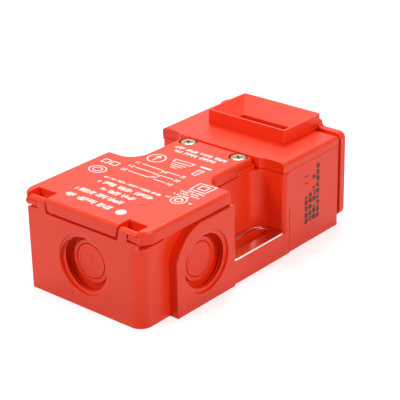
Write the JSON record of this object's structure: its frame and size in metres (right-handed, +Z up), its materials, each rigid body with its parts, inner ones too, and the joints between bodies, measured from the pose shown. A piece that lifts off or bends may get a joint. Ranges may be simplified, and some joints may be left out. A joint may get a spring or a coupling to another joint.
{
  "type": "safety switch",
  "caption": "Tongue-operated guard interlock switch: wiring box with hinged lid and conduit entries, slotted neck, and a key head with a top funnel and an end slot.",
  "frame": {"origin": "middle of the footprint, on the mounting face", "axes": "+X along the switch towards the key head, +Y across it, +Z up out of the mounting face; the conduit end faces -X"},
  "size_m": [0.098, 0.053, 0.0372],
  "materials": {
    "red_plastic": "satin moulded",
    "seal_rubber": "soft matte",
    "plate_steel": "bright zinc plated",
    "black_plastic": "moulded",
    "cam_plastic": "moulded",
    "carrier_plastic": "natural moulded",
    "turned_steel": "turned",
    "spring_steel": "drawn wire",
    "contact_brass": "stamped",
    "screw_steel": "bright zinc plated",
    "zinc_screws": "zinc plated"
  },
  "bodies": {
    "base": {"housing": "red_plastic", "conduit_end": "red_plastic", "neck": "red_plastic", "conduit_pad_left": "red_plastic", "conduit_pad_right": "red_plastic", "head_casing": "red_plastic", "head_cover": "red_plastic", "entry_guide": "red_plastic", "slot_plate_left": "plate_steel", "slot_plate_right": "plate_steel", "contact_block": "black_plastic", "cam_spindle": "turned_steel", "return_spring": "spring_steel", "thread_insert_left": "contact_brass", "thread_insert_right": "contact_brass", "fixed_contact_1": "contact_brass", "fixed_contact_2": "contact_brass", "fixed_contact_3": "contact_brass", "fixed_contact_4": "contact_brass", "fixed_contact_5": "contact_brass", "fixed_contact_6": "contact_brass", "block_screw_left": "zinc_screws", "block_screw_right": "zinc_screws", "head_screw_1": "zinc_screws", "head_screw_2": "zinc_screws", "head_screw_3": "zinc_screws", "head_screw_4": "zinc_screws", "terminal_clamp_1": "zinc_screws", "terminal_clamp_2": "zinc_screws", "terminal_clamp_3": "zinc_screws", "terminal_clamp_4": "zinc_screws", "terminal_clamp_5": "zinc_screws", "terminal_clamp_6": "zinc_screws", "terminal_screw_1": "zinc_screws", "terminal_screw_2": "zinc_screws", "terminal_screw_3": "zinc_screws", "terminal_screw_4": "zinc_screws", "terminal_screw_5": "zinc_screws", "terminal_screw_6": "zinc_screws"},
    "lid": {"lid": "red_plastic", "lid_seal": "seal_rubber", "lid_screw_left": "screw_steel", "lid_screw_right": "screw_steel"},
    "cam": {"cam": "cam_plastic"},
    "plunger": {"plunger": "turned_steel", "contact_carrier": "carrier_plastic", "contact_bridge_1": "contact_brass", "contact_bridge_2": "contact_brass", "contact_bridge_3": "contact_brass"}
  },
  "joints": [
    {"name": "lid_hinge", "type": "hinge", "parent": "base", "child": "lid", "pos_m": [-0.0478, 0, 0.0294], "axis": [0, -1, 0], "range_deg": [0, 100]},
    {"name": "cam_turn", "type": "hinge", "parent": "base", "child": "cam", "pos_m": [0.02995, 0, 0.0162], "axis": [0, 1, 0], "range_deg": [0, 40]},
    {"name": "plunger_slide", "type": "slide", "parent": "base", "child": "plunger", "axis": [1, 0, 0], "range_m": [0, 0.0024], "deforming": ["return_spring"]}
  ],
  "couplings": [
    {"joint": "cam_turn", "follows": "plunger_slide", "rad_per_m": 290.8}
  ]
}
